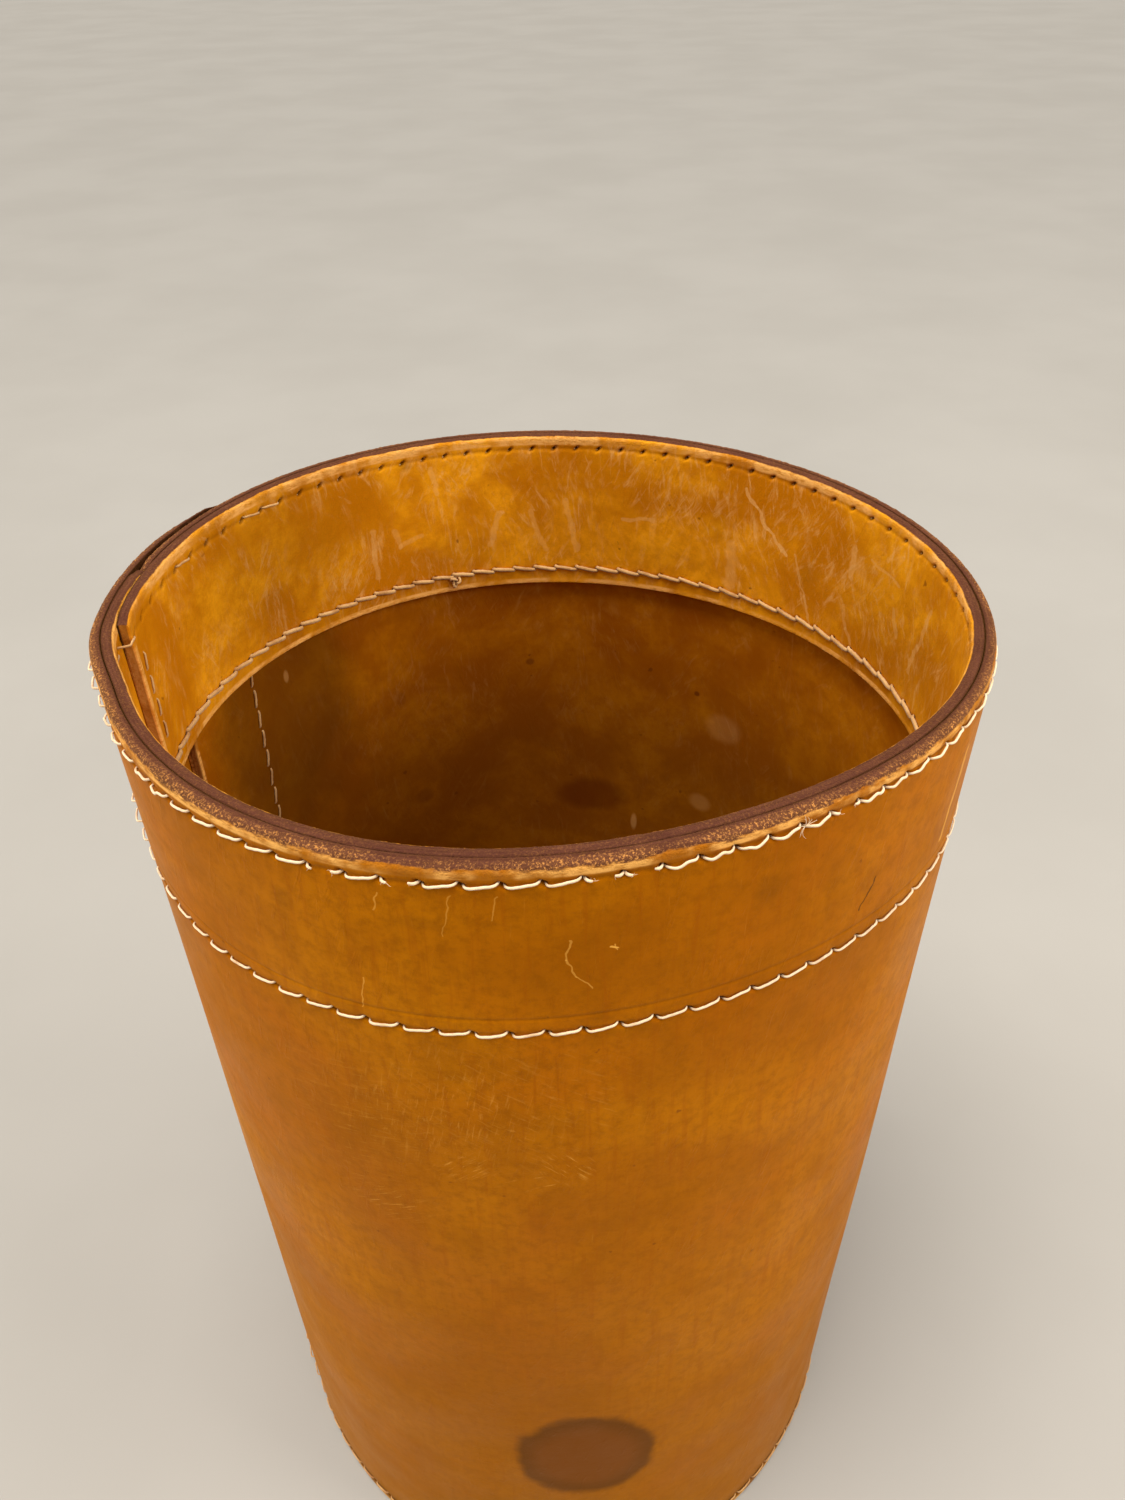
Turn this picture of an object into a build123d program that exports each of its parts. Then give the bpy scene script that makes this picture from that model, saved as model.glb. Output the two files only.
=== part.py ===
"""A round waste-paper basket of thick saddle leather, sewn from three pieces of hide.

Lengths are in millimetres and angles in degrees, counted anticlockwise from +X seen from above.
The origin is the centre of the underside, +Z points up out of the mouth and -Y is the front.

The wall is one sheet wrapped once round, with its ends lapped and sewn down one side. A collar
lines the inside of the rim and is lapped in the same way, just past the wall's lap. The base is
a disc with an upturned edge, sewn into the foot of the wall. Every seam is a lockstitch: an outer
thread and an inner thread that meet between the layers, inside slots punched through the leather.
"""
import os
from math import cos, pi, radians, sin

from build123d import *

# Driving dimensions
WALL_RADIUS = 130.0  # outside of the wall, away from the lap
HEIGHT = 410.0
LEATHER = 3.6  # thickness of the hide, the same in all three pieces
GLUE_LINE = 0.15  # space between two layers
COLLAR_DEPTH = 65.0  # from the rim to the collar's lower edge
FLANGE_HEIGHT = 15.0  # upturned edge of the base
EDGE_ROUND = 0.9  # worn corners of the rim

# The laps
WALL_FLAP_END = 156.0  # the wall's outer end
WALL_INNER_END = 176.0  # the wall's inner end, where the collar's lower end meets it
COLLAR_FLAP_END = 190.0  # the collar's upper end
BLEND_END = 206.0  # from here on there are two layers again
SKIVE_END = 170.0  # the wall's outer end is pared thin from here to its edge
SKIVED_EDGE = 1.4  # thickness left at that edge

# The seams
STITCHES_ROUND = 86  # stitches in each row that goes right round
RIM_ROW_DROP = 5.5  # from the rim to the first row
COLLAR_ROW_DROP = 56.0  # from the rim to the second row
BASE_ROW_HEIGHT = 6.5
WALL_SEAM = 158.4  # the wall's lap is sewn close to its outer end
COLLAR_SEAM = 187.6  # the collar's lap is sewn close to its upper end
SEAM_MARGIN = 8.0  # an upright seam stops this far short of a row that crosses it

# Thread and slots
THREAD = 0.8
THREAD_CLEARANCE = 0.12  # between a stitch and the face it lies on
THREAD_BEND = 0.5  # inner corner of a stitch, measured on its centre line
LEG_OFFSET = 0.45  # two stitches share a slot, one leg each side of its centre
LEG_GAP = 0.06  # outer and inner legs end this far from the middle of the glue line
SLOT_LENGTH = 2.0
SLOT_WIDTH = 1.0
GROOVE_WIDTH = 1.4  # sinks an upright seam's hidden stitches below the face
GROOVE_DEPTH = 1.1

# Sizes that follow from those
LAYER = LEATHER + GLUE_LINE
WALL_INSIDE = WALL_RADIUS - LEATHER
COLLAR_OUTSIDE = WALL_RADIUS - LAYER
COLLAR_INSIDE = COLLAR_OUTSIDE - LEATHER
COLLAR_BOTTOM = HEIGHT - COLLAR_DEPTH
RIM_ROW = HEIGHT - RIM_ROW_DROP
COLLAR_ROW = HEIGHT - COLLAR_ROW_DROP
STITCH = 2 * pi * WALL_RADIUS / STITCHES_ROUND
FULL_TURN = 360.0
STITCH_ANGLE = FULL_TURN / STITCHES_ROUND
EDGE_SAMPLE = 4.0  # spacing of the points of a sheet's raised edge
SLOT_REACH = 24.0  # radial length of the cutter for a slot, more than three layers


def at(radius, angle, height=0.0):
    """The point at this radius, angle and height."""
    return Vector(radius * cos(radians(angle)), radius * sin(radians(angle)), height)


def ease(share):
    """A smooth step from 0 to 1."""
    share = min(max(share, 0.0), 1.0)
    return share * share * (3 - 2 * share)


def lift(angle):
    """How far the extra layer of the laps pushes a sheet outwards."""
    return LAYER * (1 - ease((angle - COLLAR_FLAP_END) / (BLEND_END - COLLAR_FLAP_END)))


def skive(angle):
    """How much the wall's outer end is pared away."""
    full = LEATHER - SKIVED_EDGE
    return full * (1 - ease((angle - WALL_FLAP_END) / (SKIVE_END - WALL_FLAP_END)))


def wall_face(angle):
    """Outside radius of the wall."""
    if WALL_FLAP_END <= angle <= BLEND_END:
        return WALL_RADIUS + lift(angle) - skive(angle)
    return WALL_RADIUS


def wall_back(angle):
    """Middle of the glue line behind the wall's outer layer."""
    raised = lift(angle) if WALL_FLAP_END <= angle <= BLEND_END else 0.0
    return WALL_RADIUS + raised - LEATHER - GLUE_LINE / 2


def collar_face(angle):
    """Inside radius of the collar."""
    raised = lift(angle) if COLLAR_FLAP_END < angle <= BLEND_END else 0.0
    return COLLAR_INSIDE + raised


def draw_edge(radius, start, end, rise):
    """One long edge of a wrapped sheet: its raised stretch, then a plain arc to its other end."""
    steps = round((BLEND_END - start) / EDGE_SAMPLE)
    angles = [start + (BLEND_END - start) * i / steps for i in range(steps + 1)]
    Spline(*[at(radius + rise(angle), angle) for angle in angles])
    CenterArc((0, 0), radius, BLEND_END, end - BLEND_END)


def sheet_plan(plane, outside, start, end, outer_rise, inner_rise):
    """The plan of a wrapped sheet that ends under or over its own start."""
    inside = outside - LEATHER
    with BuildSketch(plane) as plan:
        with BuildLine():
            draw_edge(outside, start, end, outer_rise)
            draw_edge(inside, start, end, inner_rise)
            Line(at(outside + outer_rise(start), start), at(inside + inner_rise(start), start))
            Line(at(outside, end), at(inside, end))
        make_face()
    return plan.sketch


def punch_row(height):
    """Slots right round the part at this height."""
    with Locations((0, 0, height)):
        with PolarLocations(WALL_RADIUS, STITCHES_ROUND):
            Box(SLOT_REACH, SLOT_LENGTH, SLOT_WIDTH, mode=Mode.SUBTRACT)


def punch_seam(angle, heights):
    """Upright slots one above another."""
    places = [Location(at(WALL_RADIUS, angle, height), (0, 0, angle)) for height in heights]
    with Locations(*places):
        Box(SLOT_REACH, SLOT_WIDTH, SLOT_LENGTH, mode=Mode.SUBTRACT)


def cut_groove(radius, angle):
    """An upright channel in a face of the sheet, as deep on both sides of the face."""
    with Locations(Location(at(radius, angle, HEIGHT / 2), (0, 0, angle))):
        Box(2 * GROOVE_DEPTH, GROOVE_WIDTH, HEIGHT, mode=Mode.SUBTRACT)


def round_rim(part, radius):
    """Round the long edge of a part's top face nearest to this radius."""
    top = part.edges().group_by(Axis.Z)[-1]
    long_arcs = top.filter_by(GeomType.CIRCLE)
    nearest = min(long_arcs, key=lambda edge: abs(edge.radius - radius))
    fillet(nearest, EDGE_ROUND)


def stitch(foot_a, shoulder_a, shoulder_b, foot_b):
    """One stitch: a bar of thread with a leg at each end."""
    with BuildPart() as one:
        with BuildLine() as path:
            FilletPolyline(foot_a, shoulder_a, shoulder_b, foot_b, radius=THREAD_BEND)
        with BuildSketch(Plane(origin=path.line @ 0, z_dir=path.line % 0)):
            Circle(THREAD / 2)
        sweep(path=path.line)
    return one.part.solid()


def row_stitches(height, bar_radius, foot_radius):
    """Stitches right round: bar_radius takes a stitch's two ends, foot_radius one of them."""
    leg_angle = LEG_OFFSET / (pi * WALL_RADIUS / 180)
    made = []
    for i in range(STITCHES_ROUND):
        ends = (i * STITCH_ANGLE + leg_angle, (i + 1) * STITCH_ANGLE - leg_angle)
        bar = bar_radius(*ends)
        feet = [at(foot_radius(end), end, height) for end in ends]
        shoulders = [at(bar, end, height) for end in ends]
        made.append(stitch(feet[0], shoulders[0], shoulders[1], feet[1]))
    return made


def outer_bar(a, b):
    """Radius of a stitch on the wall's outside, clear of the face at both ends."""
    return max(wall_face(a), wall_face(b)) + THREAD_CLEARANCE + THREAD / 2


def collar_bar(a, b):
    """Radius of a stitch on the collar's inside."""
    return min(collar_face(a), collar_face(b)) - THREAD_CLEARANCE - THREAD / 2


def base_bar(a, b):
    """Radius of a stitch inside the base's upturned edge, the same all round."""
    return COLLAR_INSIDE - THREAD_CLEARANCE - THREAD / 2


def outer_foot(angle):
    """Where an outer thread's legs end."""
    return wall_back(angle) + LEG_GAP


def inner_foot(angle):
    """Where an inner thread's legs end."""
    return wall_back(angle) - LEG_GAP


def upright_holes(low, high):
    """Evenly spaced slots from low to high, as near one stitch apart as they fit."""
    count = round((high - low) / STITCH)
    return [low + (high - low) * i / count for i in range(count + 1)]


def upright_stitches(angle, holes, bar_radius, foot_radius):
    """Stitches one above another between neighbouring holes."""
    made = []
    for low, high in zip(holes, holes[1:]):
        ends = (low + LEG_OFFSET, high - LEG_OFFSET)
        feet = [at(foot_radius, angle, end) for end in ends]
        shoulders = [at(bar_radius, angle, end) for end in ends]
        made.append(stitch(feet[0], shoulders[0], shoulders[1], feet[1]))
    return made


lower_seam_holes = upright_holes(BASE_ROW_HEIGHT + SEAM_MARGIN, COLLAR_ROW - SEAM_MARGIN)
upper_seam_holes = upright_holes(COLLAR_ROW + SEAM_MARGIN, RIM_ROW - SEAM_MARGIN)

# The wall: one sheet from its pared outer end, once round and under itself
wall_plan = sheet_plan(
    Plane.XY,
    outside=WALL_RADIUS,
    start=WALL_FLAP_END,
    end=WALL_INNER_END + FULL_TURN,
    outer_rise=lambda angle: lift(angle) - skive(angle),
    inner_rise=lift,
)
with BuildPart() as wall_sheet:
    extrude(wall_plan, amount=HEIGHT)
    round_rim(wall_sheet, WALL_RADIUS)
    cut_groove(WALL_INSIDE, WALL_SEAM)
    for row_height in (BASE_ROW_HEIGHT, COLLAR_ROW, RIM_ROW):
        punch_row(row_height)
    punch_seam(WALL_SEAM, lower_seam_holes + upper_seam_holes)

# The collar: its lower end meets the wall's inner end, its upper end lies over both
collar_plan = sheet_plan(
    Plane.XY.offset(COLLAR_BOTTOM),
    outside=COLLAR_OUTSIDE,
    start=WALL_INNER_END + GLUE_LINE,
    end=COLLAR_FLAP_END + FULL_TURN,
    outer_rise=lift,
    inner_rise=lift,
)
with BuildPart() as rim_collar:
    extrude(collar_plan, amount=COLLAR_DEPTH)
    round_rim(rim_collar, COLLAR_INSIDE)
    cut_groove(WALL_RADIUS, COLLAR_SEAM)
    for row_height in (COLLAR_ROW, RIM_ROW):
        punch_row(row_height)
    punch_seam(COLLAR_SEAM, upper_seam_holes)

# The base: a wet-moulded disc whose edge is turned up inside the wall
with BuildPart() as base_pan:
    with BuildSketch(Plane.XZ):
        with BuildLine():
            FilletPolyline(
                (0, 0),
                (COLLAR_OUTSIDE, 0),
                (COLLAR_OUTSIDE, FLANGE_HEIGHT),
                (COLLAR_INSIDE, FLANGE_HEIGHT),
                (COLLAR_INSIDE, LEATHER),
                (0, LEATHER),
                radius=EDGE_ROUND,
            )
            Line((0, LEATHER), (0, 0))
        make_face()
    revolve(axis=Axis.Z)
    punch_row(BASE_ROW_HEIGHT)

# The threads of the three rows that go right round
with BuildPart() as rim_row_outer_thread:
    add(row_stitches(RIM_ROW, outer_bar, outer_foot))

with BuildPart() as rim_row_inner_thread:
    add(row_stitches(RIM_ROW, collar_bar, inner_foot))

with BuildPart() as collar_row_outer_thread:
    add(row_stitches(COLLAR_ROW, outer_bar, outer_foot))

with BuildPart() as collar_row_inner_thread:
    add(row_stitches(COLLAR_ROW, collar_bar, inner_foot))

with BuildPart() as base_row_outer_thread:
    add(row_stitches(BASE_ROW_HEIGHT, outer_bar, outer_foot))

with BuildPart() as base_row_inner_thread:
    add(row_stitches(BASE_ROW_HEIGHT, base_bar, inner_foot))

# The threads of the two upright seams, whose hidden sides lie in the grooves
with BuildPart() as wall_seam_outer_thread:
    for holes in (lower_seam_holes, upper_seam_holes):
        add(
            upright_stitches(
                WALL_SEAM,
                holes,
                outer_bar(WALL_SEAM, WALL_SEAM),
                WALL_RADIUS + GLUE_LINE / 2 + LEG_GAP,
            )
        )

with BuildPart() as wall_seam_inner_thread:
    for holes in (lower_seam_holes, upper_seam_holes):
        add(
            upright_stitches(
                WALL_SEAM,
                holes,
                WALL_INSIDE + THREAD / 2 + THREAD_CLEARANCE,
                WALL_RADIUS + GLUE_LINE / 2 - LEG_GAP,
            )
        )

with BuildPart() as collar_seam_outer_thread:
    add(
        upright_stitches(
            COLLAR_SEAM,
            upper_seam_holes,
            WALL_RADIUS - THREAD / 2 - THREAD_CLEARANCE,
            COLLAR_OUTSIDE + GLUE_LINE / 2 + LEG_GAP,
        )
    )

with BuildPart() as collar_seam_inner_thread:
    add(
        upright_stitches(
            COLLAR_SEAM,
            upper_seam_holes,
            collar_bar(COLLAR_SEAM, COLLAR_SEAM),
            COLLAR_OUTSIDE + GLUE_LINE / 2 - LEG_GAP,
        )
    )

wall_sheet.part.label = "wall_sheet"
rim_collar.part.label = "rim_collar"
base_pan.part.label = "base_pan"
rim_row_outer_thread.part.label = "rim_row_outer_thread"
rim_row_inner_thread.part.label = "rim_row_inner_thread"
collar_row_outer_thread.part.label = "collar_row_outer_thread"
collar_row_inner_thread.part.label = "collar_row_inner_thread"
base_row_outer_thread.part.label = "base_row_outer_thread"
base_row_inner_thread.part.label = "base_row_inner_thread"
wall_seam_outer_thread.part.label = "wall_seam_outer_thread"
wall_seam_inner_thread.part.label = "wall_seam_inner_thread"
collar_seam_outer_thread.part.label = "collar_seam_outer_thread"
collar_seam_inner_thread.part.label = "collar_seam_inner_thread"

os.makedirs("parts", exist_ok=True)
export_step(wall_sheet.part, "parts/wall_sheet.step")
export_step(rim_collar.part, "parts/rim_collar.step")
export_step(base_pan.part, "parts/base_pan.step")
export_step(rim_row_outer_thread.part, "parts/rim_row_outer_thread.step")
export_step(rim_row_inner_thread.part, "parts/rim_row_inner_thread.step")
export_step(collar_row_outer_thread.part, "parts/collar_row_outer_thread.step")
export_step(collar_row_inner_thread.part, "parts/collar_row_inner_thread.step")
export_step(base_row_outer_thread.part, "parts/base_row_outer_thread.step")
export_step(base_row_inner_thread.part, "parts/base_row_inner_thread.step")
export_step(wall_seam_outer_thread.part, "parts/wall_seam_outer_thread.step")
export_step(wall_seam_inner_thread.part, "parts/wall_seam_inner_thread.step")
export_step(collar_seam_outer_thread.part, "parts/collar_seam_outer_thread.step")
export_step(collar_seam_inner_thread.part, "parts/collar_seam_inner_thread.step")
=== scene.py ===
from math import cos, pi, radians, sin

import bpy
import numpy as np
from mathutils import Matrix, Vector


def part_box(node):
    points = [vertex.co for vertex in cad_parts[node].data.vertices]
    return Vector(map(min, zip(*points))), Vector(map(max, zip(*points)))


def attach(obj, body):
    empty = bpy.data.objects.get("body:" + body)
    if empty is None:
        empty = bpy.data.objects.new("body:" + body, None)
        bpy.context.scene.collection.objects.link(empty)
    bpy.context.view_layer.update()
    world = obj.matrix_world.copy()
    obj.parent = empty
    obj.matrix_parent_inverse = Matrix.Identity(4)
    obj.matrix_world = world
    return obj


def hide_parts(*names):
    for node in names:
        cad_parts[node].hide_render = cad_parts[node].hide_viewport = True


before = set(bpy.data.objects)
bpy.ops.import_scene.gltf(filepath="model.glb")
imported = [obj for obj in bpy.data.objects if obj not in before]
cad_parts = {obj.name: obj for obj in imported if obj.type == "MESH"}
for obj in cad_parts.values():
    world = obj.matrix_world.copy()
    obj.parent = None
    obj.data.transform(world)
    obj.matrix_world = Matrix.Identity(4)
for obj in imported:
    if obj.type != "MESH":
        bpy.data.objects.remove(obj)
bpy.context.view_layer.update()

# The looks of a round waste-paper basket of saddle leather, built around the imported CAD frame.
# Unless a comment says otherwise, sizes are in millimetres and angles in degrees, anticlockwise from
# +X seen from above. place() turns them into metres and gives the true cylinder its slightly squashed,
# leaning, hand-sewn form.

MM = 0.001

# Sizes read from the frame
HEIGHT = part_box("wall_sheet")[1][2] / MM
WALL_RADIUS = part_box("wall_sheet")[1][0] / MM
COLLAR_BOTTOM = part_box("rim_collar")[0][2] / MM
FLANGE_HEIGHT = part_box("base_pan")[1][2] / MM

# Sizes that the CAD model is built from
LEATHER = 3.6
GLUE_LINE = 0.15
WALL_FLAP_END = 156.0
WALL_INNER_END = 176.0
COLLAR_FLAP_END = 190.0
BLEND_END = 206.0
SKIVE_END = 170.0
SKIVED_EDGE = 0.8
STITCHES_ROUND = 86
COLLAR_ROW_DROP = 56.0
BASE_ROW_HEIGHT = 6.5
WALL_SEAM = 158.4
COLLAR_SEAM = 187.6
SEAM_MARGIN = 8.0
BUTT_GAP = 0.15  # in degrees, between the wall's inner end and the collar's under end

# Sizes that follow from those
FULL_TURN = 360.0
LAYER = LEATHER + GLUE_LINE
WALL_INSIDE = WALL_RADIUS - LEATHER
COLLAR_OUTSIDE = WALL_RADIUS - LAYER
COLLAR_INSIDE = COLLAR_OUTSIDE - LEATHER
STITCH_ANGLE = FULL_TURN / STITCHES_ROUND
STITCH = 2 * pi * WALL_RADIUS / STITCHES_ROUND
ARC = pi * WALL_RADIUS / 180  # one degree round the wall
COLLAR_ROW_HEIGHT = HEIGHT - COLLAR_ROW_DROP

# How the real basket differs from a true cylinder: waves are (number round, cosine, sine)
FOOT_TAPER = 2.0
RIM_OVAL = ((2, 3.15, 2.65), (3, 0.47, -0.03), (4, 0.99, -0.16))
RIM_WAVES = ((1, -2.1, 0.14), (2, -0.91, -1.56), (3, -0.44, 0.95))
WAVE_FADE = 0.8  # share of the height from which the rim's waves have their full size
LEAN = (3.4, 6.2)
RIM_ROW_DROP = 5.2
RIM_ROW_WANDER = 1.1  # the rim row comes nearer to the rim on the right
COLLAR_ROW_SLANT = 1.8  # the collar row's holes come out this much lower on the inside

# Worn edges
BEVEL_WIDTH = 1.9
BEVEL_DROP = 2.6
INNER_BEVEL_WIDTH = 1.0
INNER_BEVEL_DROP = 1.8
SPLIT_ROUND = 0.18  # the split is the line on the rim where the wall and the collar meet
SPLIT_WIDTH = 0.5
SPLIT_SHADE = 0.28  # how dark it is at the front and back; at both sides it is 1
CROWN = 0.12
FOOT_ROUND = 0.8
END_ROUND = 0.4
WORN_DROP = 4.4
OTHER_EDGES = 0.6  # the foot and the cut ends are worn over this share of the rim's width
EDGE_RAGGED = 0.07
CUT_END_WEAR = 0.49  # a cut end is this worn, where the rim is 1
END_DIP = 1.1  # the rim's corners at the cut ends are worn down
END_DIP_LENGTH = 6.0

# Distances inward at which the rim is fully worn bare or fully dusted with tan, and not at all
WALL_BARE = 0.04
WALL_NOT_BARE = 0.44
COLLAR_BARE = 3.35
COLLAR_NOT_BARE = 2.95
DUSTY = 1.0
NOT_DUSTY = 3.2

# Holes and thread
HOLE_LENGTH = 1.3
HOLE_WIDTH = 0.6
HOLE_SLOPE = -38.0
HOLE_DEPTH = 1.5
BED_WIDTH = 0.75
BED_DEPTH = 0.32
INNER_BED_DEPTH = 0.2
BED_SHADE = 0.16
CREASE_RISE = 5.4  # a pressed guide line runs this far above the collar row
CREASE_WIDTH = 0.45
CREASE_DEPTH = 0.2
CREASE_SHADE = 0.16
THREAD = 0.86
THREAD_FLAT = 0.78
STITCH_RINGS = 22
TUBE_SIDES = 10
PLIES = 3
PLY_DEPTH = 0.07
PLY_TURN = 2.2  # length of thread from one ply's ridge to the next
SNUG = 0.08  # slack of a tight stitch
SLACK = 0.7  # slack of a loose one

# The base
BASE_CORNER = 2.2
BASE_FILLET = 2.0
FLANGE_ROUND = 0.9
DISC_RINGS = (118, 112, 100, 85, 68, 50, 30, 12, 2)
SWELLING_EDGE = 110
SWELLING_WIDTH = 60

# A sheet's points: heights between which their rows are close together, and gaps between the rows
BASE_ROW_HIGH = 11
COLLAR_ROW_LOW = COLLAR_ROW_HEIGHT - 4
COLLAR_ROW_HIGH = COLLAR_ROW_HEIGHT + 7
RIM_ROW_LOW = HEIGHT - RIM_ROW_DROP - 5
HOLE_GAP = 0.5
RIM_GAP = 0.45
COLLAR_FOOT_GAP = 0.8
COLLAR_GAP = 4.0
WALL_GAP = 4.7
LINING_GAP = 6
HIDDEN_GAP = 12

# Rim-row stitches, counted from +X, that have broken or work loose
BROKEN_STITCHES = (59, 61, 66, 67, 73)
LOOSE_STITCHES = (49, 50, 52, 53, 68, 69, 70, 71, 72, 74, 75, 76, 77, 78, 80)
PLAIN_STITCHES = (35, 36, 40, 45)  # on the inside, the rest are drawn into the leather
SUNK_STITCHES = tuple(i for i in range(STITCHES_ROUND) if i not in PLAIN_STITCHES)
FRAYED_ANGLE = -58.6
KNOT_ANGLE = 112.8

# Heights over which the outside darkens towards the foot, and over which painted shade darkens the
# wall's inside towards the bottom
DARK_FOOT = 300
FOOT_BAND_LOW = 4
FOOT_BAND_HIGH = 16
DEEP_SHADE_LOW = HEIGHT - 170
DEEP_SHADE_HIGH = HEIGHT - 62

# Floor, light and camera, in metres where no unit is named
FLOOR_REACH = 40.0
FLOOR_DROP = 0.0004
WARM = (1.0, 0.95, 0.87)
SKY_COLOUR = (1.0, 0.96, 0.90, 1.0)
SKY_STRENGTH = 0.38
CAMERA_PLACE = (23.3, -304.5, 585.1)  # mm
CAMERA_DOWN = 37.47
CAMERA_LEFT = 3.17
CAMERA_ROLL = -1.44
SENSOR = 36.0  # mm, its long side
FOCAL_LENGTH = 27.38  # mm


# ---- the form

def ease(share):
    """A smooth step from 0 to 1."""
    share = np.clip(share, 0.0, 1.0)
    return share * share * (3 - 2 * share)


def waves(angle, terms):
    """The sum of some waves round the basket."""
    turn = np.radians(angle)
    return sum(c * np.cos(n * turn) + s * np.sin(n * turn) for n, c, s in terms)


def buckle(angle, height):
    """Shallow dents and swellings of the whole leather wall."""
    turn = np.radians(angle)
    broad = np.sin(2 * turn + height / 95) * np.sin(height / 120 + 0.6)
    narrow = np.sin(5 * turn - height / 60 + 1.0) * np.sin(height / 75)
    return 0.45 * broad + 0.22 * narrow


def place(angle, radius, height):
    """The point, in metres, that a point of the true cylinder comes to."""
    share = height / HEIGHT
    reach = radius - FOOT_TAPER * (1 - share) + share * waves(angle, RIM_OVAL)
    reach = reach + ease(share * 3) * buckle(angle, height)
    turn = np.radians(angle)
    x = reach * np.cos(turn) + LEAN[0] * share
    y = reach * np.sin(turn) + LEAN[1] * share
    z = height + ease(share / WAVE_FADE) * waves(angle, RIM_WAVES)
    return np.stack([x, y, z], axis=-1) * MM


def unwrap(angle, start):
    """The same direction, counted on from start."""
    return start + (angle - start) % FULL_TURN


def lift(angle):
    """How far the extra layer of the laps pushes a sheet outwards."""
    return LAYER * (1 - ease((angle - COLLAR_FLAP_END) / (BLEND_END - COLLAR_FLAP_END)))


def skive(angle):
    """How much the wall's outer end is pared away."""
    full = LEATHER - SKIVED_EDGE
    return full * (1 - ease((angle - WALL_FLAP_END) / (SKIVE_END - WALL_FLAP_END)))


def outer_face(angle):
    """Outside radius of the wall's outer layer."""
    unrolled = unwrap(angle, WALL_FLAP_END)
    return WALL_RADIUS + lift(unrolled) - skive(unrolled)


def inner_face(angle):
    """Inside radius of the collar's inner layer."""
    return COLLAR_INSIDE + lift(unwrap(angle, COLLAR_FLAP_END))


def rim_row(angle):
    """Height of the row of stitches under the rim."""
    return HEIGHT - RIM_ROW_DROP + RIM_ROW_WANDER * np.cos(np.radians(angle))


def all_round(value):
    """A face or a row of stitches that is the same all round."""
    return lambda angle: value + 0 * angle


wall_inner_face = all_round(WALL_INSIDE)
flange_face = all_round(COLLAR_INSIDE)
base_row = all_round(BASE_ROW_HEIGHT)
collar_row = all_round(COLLAR_ROW_HEIGHT)
collar_row_inside = all_round(COLLAR_ROW_HEIGHT - COLLAR_ROW_SLANT)


def sewing(angle, height, rows, bed_depth=BED_DEPTH):
    """How deep the stitches press a face in, and how much painted shade darkens their holes and beds.
    """
    depth = 0 * angle
    dark = 0 * angle
    for row in rows:
        across = height - row(angle)
        along = ((angle / STITCH_ANGLE + 0.5) % 1 - 0.5) * STITCH
        slope = radians(HOLE_SLOPE)
        lengthways = along * cos(slope) + across * sin(slope)
        sideways = across * cos(slope) - along * sin(slope)
        hole = np.exp(-((lengthways / HOLE_LENGTH) ** 2) - (sideways / HOLE_WIDTH) ** 2)
        bed = np.exp(-((across / BED_WIDTH) ** 2))
        depth = depth + HOLE_DEPTH * hole + bed_depth * bed
        dark = np.maximum(dark, np.maximum(hole, BED_SHADE * bed * bed_depth / BED_DEPTH))
    return depth, dark


def guide_line(angle, height):
    """The line that was pressed in above the collar row before sewing."""
    across = height - collar_row(angle) - CREASE_RISE
    return np.exp(-((across / CREASE_WIDTH) ** 2))


# ---- meshes

def make_object(name, points, faces, smooth=True):
    """A mesh object from points in metres and lists of corners."""
    mesh = bpy.data.meshes.new(name)
    mesh.from_pydata(points, [], faces)
    mesh.polygons.foreach_set("use_smooth", [smooth] * len(mesh.polygons))
    mesh.update()
    thing = bpy.data.objects.new(name, mesh)
    bpy.context.collection.objects.link(thing)
    return thing


def quads(here, there, row, after):
    """Corners of the faces between two columns, here and there, from one row to the one after it."""
    corners = [here + row, there + row, there + after, here + after]
    return np.stack(corners, axis=-1).reshape(-1, 4).tolist()


def store(thing, grain, **shares):
    """Keep each point's place in the leather, and some shares from 0 to 1, for the materials."""
    layer = thing.data.attributes.new("grain", "FLOAT_VECTOR", "POINT")
    layer.data.foreach_set("vector", (np.stack(grain, axis=-1) * MM).astype(np.float32).ravel())
    for name, values in shares.items():
        layer = thing.data.attributes.new(name, "FLOAT", "POINT")
        layer.data.foreach_set("value", values.astype(np.float32).ravel())


def steps(low, high, gap):
    """Evenly spread values from low up to, but without, high."""
    count = max(1, round((high - low) / gap))
    return [low + (high - low) * i / count for i in range(count)]


def corner(width, drop, count=6):
    """A quarter of an ellipse, from the face (0, drop) to the edge's top (width, 0)."""
    turns = [pi / 2 * i / count for i in range(count + 1)]
    return [(width * (1 - cos(turn)), drop * (1 - sin(turn))) for turn in turns]


def crown(first, last, count=5):
    """The rim's slightly domed top between two distances inward, without its ends."""
    shares = [(i + 1) / (count + 1) for i in range(count)]
    return [(first + (last - first) * share, HEIGHT + CROWN * sin(pi * share)) for share in shares]


def columns(start, end):
    """Angles of a sheet's columns of points, close together at the holes and at both ends."""
    shares = (0, 0.045, 0.09, 0.14, 0.22, 0.34, 0.5, 0.66, 0.78, 0.86, 0.91, 0.955)
    near_end = [gap / ARC for gap in (0, 0.04, 0.12, 0.25, END_ROUND)]
    first = int(start // STITCH_ANGLE)
    last = int(end // STITCH_ANGLE) + 1
    angles = [(i + share) * STITCH_ANGLE for i in range(first, last) for share in shares]
    low = start + 2 * near_end[-1]
    high = end - 2 * near_end[-1]
    angles = [angle for angle in angles if low < angle < high]
    angles += [start + gap for gap in near_end] + [end - gap for gap in near_end]
    return np.array(sorted(angles))


def grid(angles, outline):
    """Tables of angle, first and second number for an outline of pairs, repeated at every angle."""
    pairs = np.array(outline, dtype=float)
    size = (len(angles), len(outline))
    return [np.broadcast_to(values, size) for values in (angles[:, None], pairs[:, 0], pairs[:, 1])]


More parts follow.
